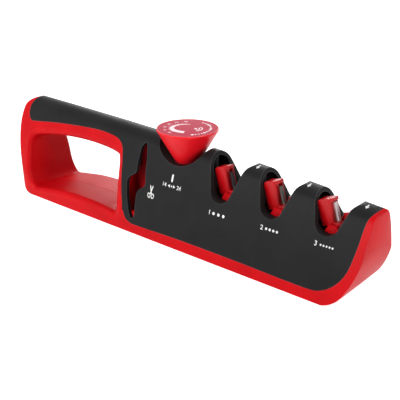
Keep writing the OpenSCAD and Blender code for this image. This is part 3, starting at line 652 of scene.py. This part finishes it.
def makeCover():
    piece = addPiece("coverShell", solidCopy("top_cover"), "blackAbsMoulded", "housing")
    room = knob["room"]
    low, high = knob["footZ"] - room, knob["top"]
    outline = [(0.0, low), (coneRadius(low) + room, low), (coneRadius(high) + room, high), (0.0, high)]
    cutAway(piece, placed("knobRoom", spun(outline, "knobRoom", knob["x"], knob["turnSteps"])))
    closeSlivers(piece)
    reshape(piece.data)
    softenEdges(piece, shape["coverEdge"])
    smoothShade(piece.data, shading["shellSharp"])
    evenShade(piece)
    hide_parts("top_cover")


makeFrame()
makeLoopLip()
makeCover()
makeKnob()
print("shells ready")

# The three stages along the body, each seen from the front and the back
stages = {"names": ("coarse", "medium", "fine"), "first": 43.5, "pitch": 32.4}
stagePlaces = [(name, stages["first"] + stages["pitch"] * i) for i, name in enumerate(stages["names"])]
bothSides = ((-1, "Front"), (1, "Back"))

# The black walls that line a knife slot, in a darker black that is painted shade
slotWall = {
    # the slot in the side view: its round bottom, and the steps by which its straight sides climb
    "footZ": 34.0, "radius": 6.6, "shift": 1.32, "lean": 17.5, "arcSteps": 16,
    "climb": (1.5, 3, 4.5, 6, 8, 10, 12, 14, 15.5), "crestGap": 2.4,
    # the wall across: its thickness, how far it starts below the skin, and how deep it reaches
    "thick": 1.15, "into": 1.0, "lowDepth": 8.75, "highDepth": 6.6, "stepFrom": 38.5, "stepTo": 40.5,
    "least": 0.3, "clear": 0.04, "bevelOut": 0.30, "bevelIn": 0.35,
}


def slotOutline(x):
    # points from the crest down one side, round the bottom and up again, each with the way out of the slot
    radius, lean = slotWall["radius"], slotWall["lean"]
    centre = Vector((x - slotWall["shift"], slotWall["footZ"] + radius))
    rows = []
    for k in range(slotWall["arcSteps"] + 1):
        a = math.radians(180 + lean + (180 - 2 * lean) * k / slotWall["arcSteps"])
        away = Vector((math.cos(a), math.sin(a)))
        rows.append((centre + radius * away, away))
    ends = []
    for point, away in (rows[0], rows[-1]):
        run = Vector((away.y, -away.x))
        run = run if run.y > 0 else -run
        ends.append([(point + run * step, away) for step in slotWall["climb"]])
    return list(reversed(ends[0])) + rows + ends[1]


def makeSlotWall(name, x, side):
    w = slotWall
    work = bmesh.new()
    rings = []
    for point, away in slotOutline(x):
        climb = share(point.y, w["stepFrom"], w["stepTo"])
        inner = w["lowDepth"] + (w["highDepth"] - w["lowDepth"]) * climb
        outer = sideAt(point.x, point.y) - w["into"]
        if riseAt(point.x, point.y) > body["archHeight"] - w["crestGap"] or outer - inner < w["least"]:
            continue
        section = ((w["clear"], outer), (w["clear"], inner + w["bevelIn"]), (w["bevelOut"], inner),
                   (w["thick"], inner), (w["thick"], outer))
        ring = []
        for out, y in section:
            spot = point + away * out
            shownX, shownZ = shownPlace(spot.x, spot.y)
            ring.append(work.verts.new(Vector((shownX, side * y, shownZ)) * mm))
        rings.append(ring)
    for low, high in zip(rings, rings[1:]):
        for k in range(len(low)):
            work.faces.new((low[k - 1], low[k], high[k], high[k - 1]))
    work.faces.new(rings[0])
    work.faces.new(rings[-1])
    # painted shade: the walls take a darker black than the cover's
    piece = addPiece(name, meshFrom(work, name), "blackAbsPaintedShade", "housing")
    smoothShade(piece.data)


# The leaning arms; a front arm's head stands higher over its bar than the model's
arms = {
    "rise": 2.5, "riseLess": 0.5, "shares": (1.0, 0.9, 0.4), "from": 38.0, "top": 47.0, "most": 1.1,
    "left": -10.5, "right": -2.5, "edge": (0.6, 4, 30),
}


def makeArm(name, word, x, lift):
    node = name + "_" + word + "_arm"
    piece = addPiece(name + word.title() + "ArmShell", solidCopy(node), "redAbsEdgesHighlit", nodeBody[node])
    for vert in piece.data.vertices:
        # the rise grows with the height, and is a little less towards the bar
        inward = share(vert.co.x / mm - x, arms["left"], arms["right"])
        climb = (vert.co.z / mm - arms["from"]) / (arms["top"] - arms["from"])
        if word == "front" and climb > 0:
            rise = arms["rise"] - arms["riseLess"] * inward
            vert.co.z += rise * lift * min(climb, arms["most"]) * mm
    softenEdges(piece, arms["edge"])
    smoothShade(piece.data, shading["shellSharp"])
    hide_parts(node)


# The small moulded caps over the ends of the pivot pins
pinCap = {
    "z": 35.0, "end": 8.45, "radius": 1.75, "thick": 0.22, "corner": 0.1, "sunk": 0.3, "turnSteps": 32,
}


def makePinCap(name, x, side):
    radius, thick, corner = pinCap["radius"], pinCap["thick"], pinCap["corner"]
    low = -pinCap["sunk"]
    outline = [(0.0, low), (radius, low), (radius, thick - corner), (radius - corner, thick), (0.0, thick)]
    mesh = spun(outline, name, 0.0, pinCap["turnSteps"])
    place = Matrix.Translation((x * mm, side * pinCap["end"] * mm, pinCap["z"] * mm))
    mesh.transform(place @ Matrix.Rotation(math.radians(-90 * side), 4, "X"))
    addPiece(name, mesh, "redAbsEdgesHighlit", "housing")
    smoothShade(mesh)


for stageName, stageX in stagePlaces:
    for faceSide, faceWord in bothSides:
        makeSlotWall(stageName + faceWord + "SlotWall", stageX, faceSide)
for (stageName, stageX), stageLift in zip(stagePlaces, arms["shares"]):
    makeArm(stageName, "front", stageX, stageLift)
    makeArm(stageName, "back", stageX, stageLift)
for stageName, stageX in stagePlaces:
    for faceSide, faceWord in bothSides:
        makePinCap(stageName + faceWord + "PinCap", stageX, faceSide)
print("slots ready")

# Printed marks are drawn flat in mm, given a film's thickness and laid on their surface
ink = {"thick": 0.05, "sunk": 0.03, "dotSides": 14, "bolder": 0.02}


def moved(work, verts, x, y):
    bmesh.ops.translate(work, verts=verts, vec=(x, y, 0))


def turned(work, verts, degrees):
    turn = Matrix.Rotation(math.radians(degrees), 3, "Z")
    bmesh.ops.rotate(work, verts=verts, cent=(0, 0, 0), matrix=turn)


def flatFace(work, corners):
    made = [work.verts.new((x, y, 0)) for x, y in corners]
    work.faces.new(made)
    return made


def flatBox(work, x0, x1, y0, y1):
    return flatFace(work, ((x0, y0), (x1, y0), (x1, y1), (x0, y1)))


def arcBand(work, inner, outer, start, end, steps, innerEnd=None, outerEnd=None):
    # a band between two radii, which may change from one end to the other
    innerEnd = inner if innerEnd is None else innerEnd
    outerEnd = outer if outerEnd is None else outerEnd
    rows = []
    for k in range(steps + 1):
        t = k / steps
        a = math.radians(start + (end - start) * t)
        rows.append([work.verts.new((r * math.cos(a), r * math.sin(a), 0))
                     for r in (inner + (innerEnd - inner) * t, outer + (outerEnd - outer) * t)])
    for low, high in zip(rows, rows[1:]):
        work.faces.new((low[0], low[1], high[1], high[0]))
    return [vert for row in rows for vert in row]


def dot(work, x, y, radius):
    made = bmesh.ops.create_circle(work, segments=ink["dotSides"], radius=radius, cap_ends=True)["verts"]
    moved(work, made, x, y)


def numeral(work, text, x, y, size, degrees=0.0):
    # plain numbers from the built-in letters, made a mesh before they are placed
    curve = bpy.data.curves.new("numeral", "FONT")
    curve.body = text
    curve.size = size
    curve.align_x = "CENTER"
    curve.align_y = "CENTER"
    curve.resolution_u = 3
    curve.offset = ink["bolder"] * size
    holder = placed("numeral", curve)
    graph = bpy.context.evaluated_depsgraph_get()
    mesh = bpy.data.meshes.new_from_object(holder.evaluated_get(graph))
    before = set(work.verts)
    work.from_mesh(mesh)
    fresh = [vert for vert in work.verts if vert not in before]
    turned(work, fresh, degrees)
    moved(work, fresh, x, y)
    bpy.data.objects.remove(holder)


def printed(work, name, place, material, rideOn, thick=ink["thick"]):
    bmesh.ops.remove_doubles(work, verts=work.verts, dist=joins["loose"])
    bmesh.ops.recalc_face_normals(work, faces=work.faces)
    for face in work.faces:
        if face.normal.z < 0:
            face.normal_flip()
    grown = bmesh.ops.extrude_face_region(work, geom=work.faces[:] + work.edges[:] + work.verts[:])["geom"]
    top = {item for item in grown if isinstance(item, bmesh.types.BMVert)}
    for vert in work.verts:
        height = thick if vert in top else -ink["sunk"]
        vert.co = Vector(place(vert.co.x, vert.co.y, height)) * mm
    bmesh.ops.recalc_face_normals(work, faces=work.faces)
    mesh = bpy.data.meshes.new(name)
    work.to_mesh(mesh)
    work.free()
    addPiece(name, mesh, material, rideOn)


# The dial's print; angles are counted from +X, and the scale's side faces the handle
dial = {
    # two parts, each with its start and end angle, its two middle radii and its two widths
    "wedge": ((-62, -136, 8.2, 9.0, 3.6, 2.7), (-138, -242, 9.0, 6.9, 2.6, 0.5)), "wedgeSteps": 22,
    "firstAngle": 14, "lastAngle": 24, "scaleFrom": -100, "scaleStep": 12.5,
    "tickFrom": 10.4, "longTick": 11.3, "shortTick": 11.0, "tickHalf": 0.12,
    "numberAt": 13.1, "numberSize": 2.3,
    "dots": 16, "dotsFrom": -38, "dotStep": 8.5, "dotsAt": 13.2,
    "dotRadius": 0.62, "bigDot": 0.9, "bigEvery": 4,
    # a plain blade between two open arcs
    "blade": (-0.3, 1.2, -0.9, 0.9), "arcs": (2.6, 4.2), "arcWidth": 0.6, "arcHalf": 62, "arcSteps": 14,
    "signAt": 4.4, "signTurn": 20,
}


def onDial(u, v, height):
    return (knob["x"] + u, v, knob["top"] - knob["filmDown"] + height)


def makeDialMarks():
    work = bmesh.new()
    for start, end, r0, r1, w0, w1 in dial["wedge"]:
        arcBand(work, r0 - w0 / 2, r0 + w0 / 2, start, end, dial["wedgeSteps"], r1 - w1 / 2, r1 + w1 / 2)
    printed(work, "dialWedge", onDial, "inkScreenPrinted", "knob")
    work = bmesh.new()
    for k in range(dial["lastAngle"] - dial["firstAngle"] + 1):
        degrees = dial["scaleFrom"] - dial["scaleStep"] * k
        isLong = k % 2 == 0
        end = dial["longTick"] if isLong else dial["shortTick"]
        turned(work, flatBox(work, dial["tickFrom"], end, -dial["tickHalf"], dial["tickHalf"]), degrees)
        if isLong:
            a = math.radians(degrees)
            numeral(work, str(dial["firstAngle"] + k), dial["numberAt"] * math.cos(a),
                    dial["numberAt"] * math.sin(a), dial["numberSize"], degrees + 90)
    printed(work, "dialTicks", onDial, "inkScreenPrinted", "knob")
    work = bmesh.new()
    for k in range(dial["dots"]):
        a = math.radians(dial["dotsFrom"] + dial["dotStep"] * k)
        radius = dial["dotRadius"] if k % dial["bigEvery"] else dial["bigDot"]
        dot(work, dial["dotsAt"] * math.cos(a), dial["dotsAt"] * math.sin(a), radius)
    sign = []
    for radius in dial["arcs"]:
        sign += arcBand(work, radius - dial["arcWidth"] / 2, radius + dial["arcWidth"] / 2,
                        -dial["arcHalf"], dial["arcHalf"], dial["arcSteps"])
    sign += flatBox(work, *dial["blade"])
    moved(work, sign, dial["signAt"], 0)
    turned(work, sign, dial["signTurn"])
    printed(work, "dialDots", onDial, "inkScreenPrinted", "knob")


makeDialMarks()
print("knob and dial ready")

# Printed marks on the front of the cover
pointerBar = {"x": 8.2, "z": 39.8, "width": 1.25, "height": 4.3}
rangeLabel = {
    "x": 8.5, "z": 35.4, "size": 3.1, "apart": 5.4, "tip": 2.7, "tail": 1.2, "half": 0.9, "dot": 0.5,
}
scissorMark = {
    "x": -5.8, "z": 29.2, "bladeTurn": 17,
    "blade": ((-0.3, -1.6), (0.3, -1.6), (0.34, 2.6), (-0.1, 3.9), (-0.34, 2.6)),
    "ring": (0.8, 1.35), "ringShape": (0.85, 1.15, 1), "ringSteps": 20, "ringTurn": -16,
    "ringApart": 1.35, "ringDown": 2.5,
}
stageMark = {
    "at": ((41.7, 28.2), (75.8, 29.1), (107.6, 29.7)), "numberBack": 4.2, "size": 3.4,
    "dots": 3, "dotsBack": 1.4, "dotsLong": 6.6, "dot": 0.85, "dotLess": 0.17,
}
# A plain arrow on each hump, across the crest and pointing to the front
crestArrow = {
    "at": (58.5, 90.0, 122.5), "shaft": 0.7, "wing": 1.05, "head": 1.6, "length": 3.5, "start": 11.9,
    "thick": 0.14, "cuts": 3,
}


def onFront(x, z, height):
    return (x, -sideAt(x, z) - height, z)


def makePointerBar():
    x, z, radius = pointerBar["x"], pointerBar["z"], pointerBar["width"] / 2
    reach = pointerBar["height"] / 2 - radius
    work = bmesh.new()
    flatBox(work, x - radius, x + radius, z - reach, z + reach)
    dot(work, x, z + reach, radius)
    dot(work, x, z - reach, radius)
    bmesh.ops.dissolve_degenerate(work, dist=joins["loose"], edges=work.edges)
    printed(work, "pointerBar", onFront, "inkPadPrinted", "housing")


def makeRangeLabel():
    r = rangeLabel
    x, z = r["x"], r["z"]
    work = bmesh.new()
    numeral(work, str(dial["firstAngle"]), x - r["apart"], z, r["size"])
    numeral(work, str(dial["lastAngle"]), x + r["apart"], z, r["size"])
    for side in (-1, 1):
        flatFace(work, ((x + side * r["tip"], z), (x + side * r["tail"], z + r["half"]),
                        (x + side * r["tail"], z - r["half"])))
    dot(work, x, z, r["dot"])
    printed(work, "rangeLabel", onFront, "inkPadPrinted", "housing")


def makeScissorMark():
    s = scissorMark
    work = bmesh.new()
    for side in (-1, 1):
        ring = arcBand(work, *s["ring"], 0, 360, s["ringSteps"])
        bmesh.ops.scale(work, verts=ring, vec=s["ringShape"])
        turned(work, ring, s["ringTurn"] * side)
        moved(work, ring, s["x"] + side * s["ringApart"], s["z"] - s["ringDown"])
        blade = flatFace(work, s["blade"])
        turned(work, blade, s["bladeTurn"] * side)
        moved(work, blade, s["x"], s["z"])
    printed(work, "scissorMark", onFront, "inkPadPrinted", "housing")


def makeStageMark(count, x, z):
    # the stage's number and a row of dots, more and smaller for a finer grit
    s = stageMark
    work = bmesh.new()
    numeral(work, str(count + 1), x - s["numberBack"], z, s["size"])
    dots = s["dots"] + count
    for k in range(dots):
        dot(work, x - s["dotsBack"] + s["dotsLong"] * k / (dots - 1), z, s["dot"] - s["dotLess"] * count)
    printed(work, "stageMark" + str(count + 1), onFront, "inkPadPrinted", "housing")


def makeCrestArrow(count, x):
    a = crestArrow
    work = bmesh.new()
    flatBox(work, -a["shaft"] / 2, a["shaft"] / 2, a["head"], a["length"])
    flatFace(work, ((-a["wing"], a["head"]), (0, 0), (a["wing"], a["head"])))
    bmesh.ops.subdivide_edges(work, edges=work.edges, cuts=a["cuts"], use_grid_fill=True)

    def onCrest(u, v, height):
        # v runs over the crest from the front, along the arc of the crown
        turn = (v + a["start"]) / body["crownRadius"] - math.pi / 2
        radius = body["crownRadius"] + height
        centreZ = shownCrest(x + u) - body["crownRadius"]
        return (x + u, radius * math.sin(turn), centreZ + radius * math.cos(turn))

    printed(work, "crestArrow" + str(count + 1), onCrest, "inkPadPrinted", "housing", a["thick"])


makePointerBar()
makeRangeLabel()
makeScissorMark()
for markCount, (markX, markZ) in enumerate(stageMark["at"]):
    makeStageMark(markCount, markX, markZ)
for markCount, markX in enumerate(crestArrow["at"]):
    makeCrestArrow(markCount, markX)
print("marks ready")

# The floor and the world, in metres; a strength of 1 is white
floor = {"size": 6.0, "colour": "#e8e8e8", "lift": 0.80}
studio = {"soft": 0.20, "tint": "#f4f5f7", "white": 1.0}


def seenDirectly(tree, strength):
    # the strength for rays that come from the camera, a reflection or glass, and nothing for the rest
    path = addNode(tree, "LightPath")
    either = addNode(tree, "Math", {"operation": "MAXIMUM"},
                     {0: path.outputs["Is Camera Ray"], 1: path.outputs["Is Glossy Ray"]})
    anyOfThem = addNode(tree, "Math", {"operation": "MAXIMUM"},
                        {0: either.outputs["Value"], 1: path.outputs["Is Transmission Ray"]})
    return addNode(tree, "Math", {"operation": "MULTIPLY", 1: strength},
                   {0: anyOfThem.outputs["Value"]}).outputs["Value"]


def makeFloor():
    # the camera and mirror-like surfaces see it near white, with the object's soft shadow kept
    work = bmesh.new()
    bmesh.ops.create_grid(work, x_segments=2, y_segments=2, size=floor["size"] / 2)
    mesh = bpy.data.meshes.new("floor")
    work.to_mesh(mesh)
    work.free()
    material, tree = freshMaterial("floorWhite")
    plain = addNode(tree, "BsdfDiffuse", {"Color": linearColour(floor["colour"])})
    lift = addNode(tree, "Emission", {"Color": (1, 1, 1, 1)},
                   {"Strength": seenDirectly(tree, floor["lift"])})
    both = addNode(tree, "AddShader", {}, {0: plain.outputs["BSDF"], 1: lift.outputs["Emission"]})
    addNode(tree, "OutputMaterial", {}, {"Surface": both.outputs["Shader"]})
    mesh.materials.append(material)
    placed("floor", mesh)


def makeWorld():
    world = bpy.data.worlds.new("studio")
    bpy.context.scene.world = world
    world.use_nodes = True
    tree = world.node_tree
    tree.nodes.clear()
    soft = addNode(tree, "Background", {"Color": linearColour(studio["tint"]), "Strength": studio["soft"]})
    white = addNode(tree, "Background", {"Color": (1, 1, 1, 1), "Strength": studio["white"]})
    mixed = addNode(tree, "MixShader", {}, {0: seenDirectly(tree, 1.0), 1: soft.outputs["Background"],
                                            2: white.outputs["Background"]})
    addNode(tree, "OutputWorld", {}, {"Surface": mixed.outputs["Shader"]})


# Lamps, in metres; each one is aimed at the middle of the body
lampAim = Vector((0, 0, 0.03))
lamps = {
    "keyLamp": {"at": (-0.30, -0.85, 0.55), "size": (0.5, 0.4), "watts": 6.1},
    "lowLamp": {"at": (-0.30, -0.90, 0.14), "size": (0.5, 0.2), "watts": 2.2},
    "topLamp": {"at": (-0.10, 0.30, 0.95), "size": (0.8, 0.3), "watts": 2.6},
    "rimLamp": {"at": (-0.60, 0.85, 0.42), "size": (0.6, 0.25), "watts": 3.8},
    "fillLamp": {"at": (0.9, -0.15, 0.30), "size": (0.5, 0.5), "watts": 4.6},
}


def makeLamp(name, lamp):
    light = bpy.data.lights.new(name, "AREA")
    light.shape = "RECTANGLE"
    light.size, light.size_y = lamp["size"]
    light.energy = lamp["watts"]
    thing = placed(name, light)
    thing.location = lamp["at"]
    thing.rotation_euler = (lampAim - Vector(lamp["at"])).to_track_quat("-Z", "Y").to_euler()


# The photograph's view, in metres and degrees: from the front right, looking down
view = {"at": (0.26844, -0.29772, 0.18614), "turn": 40.226, "down": 22.519, "lens": 65.95, "sensor": 36.0}


def makeCamera():
    lens = bpy.data.cameras.new("photoView")
    lens.lens = view["lens"]
    lens.sensor_width = view["sensor"]
    camera = placed("photoView", lens)
    camera.location = view["at"]
    camera.rotation_euler = (math.radians(90 - view["down"]), 0, math.radians(view["turn"]))
    bpy.context.scene.camera = camera


makeFloor()
makeWorld()
for lampName, lampLook in lamps.items():
    makeLamp(lampName, lampLook)
makeCamera()
bpy.context.scene.view_settings.view_transform = "Standard"
print("stage, lamps and camera ready")
